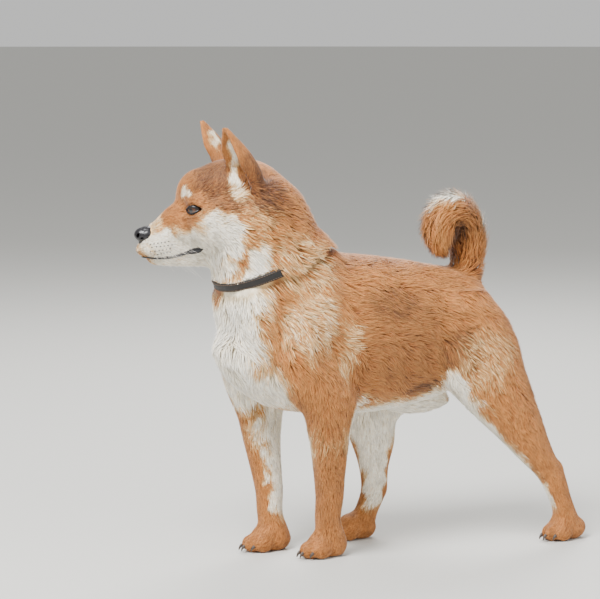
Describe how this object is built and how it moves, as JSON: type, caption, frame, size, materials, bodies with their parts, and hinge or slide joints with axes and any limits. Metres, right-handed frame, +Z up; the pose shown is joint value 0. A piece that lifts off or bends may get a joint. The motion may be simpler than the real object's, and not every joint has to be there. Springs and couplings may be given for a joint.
{
  "type": "shiba inu",
  "caption": "Life-size still model of a standing shiba inu, red with cream markings, head turned aside, tail curled, wearing a plain collar.",
  "frame": {"origin": "on the floor, below the middle of the dog's bounding box", "axes": "+Z up; the dog faces -Y, its left side is +X and its tail end is towards +Y; the head is turned 12 degrees to its right"},
  "size_m": [0.225, 0.5956, 0.5655],
  "materials": {
    "coat": "dense red-tan fur, cream below",
    "nose_leather": "moist, finely pebbled",
    "eye": "wet gloss",
    "collar_leather": "satin, plain"
  },
  "bodies": {
    "root": {"collar": "collar_leather", "ear_left": "coat", "ear_right": "coat", "eye_left": "eye", "eye_right": "eye", "foreleg_left": "coat", "foreleg_right": "coat", "forepaw_left": "coat", "forepaw_right": "coat", "head": "coat", "hindleg_left": "coat", "hindleg_right": "coat", "hindpaw_left": "coat", "hindpaw_right": "coat", "neck": "coat", "nose": "nose_leather", "tail_base": "coat", "tail_curl": "coat", "torso": "coat"}
  },
  "joints": []
}
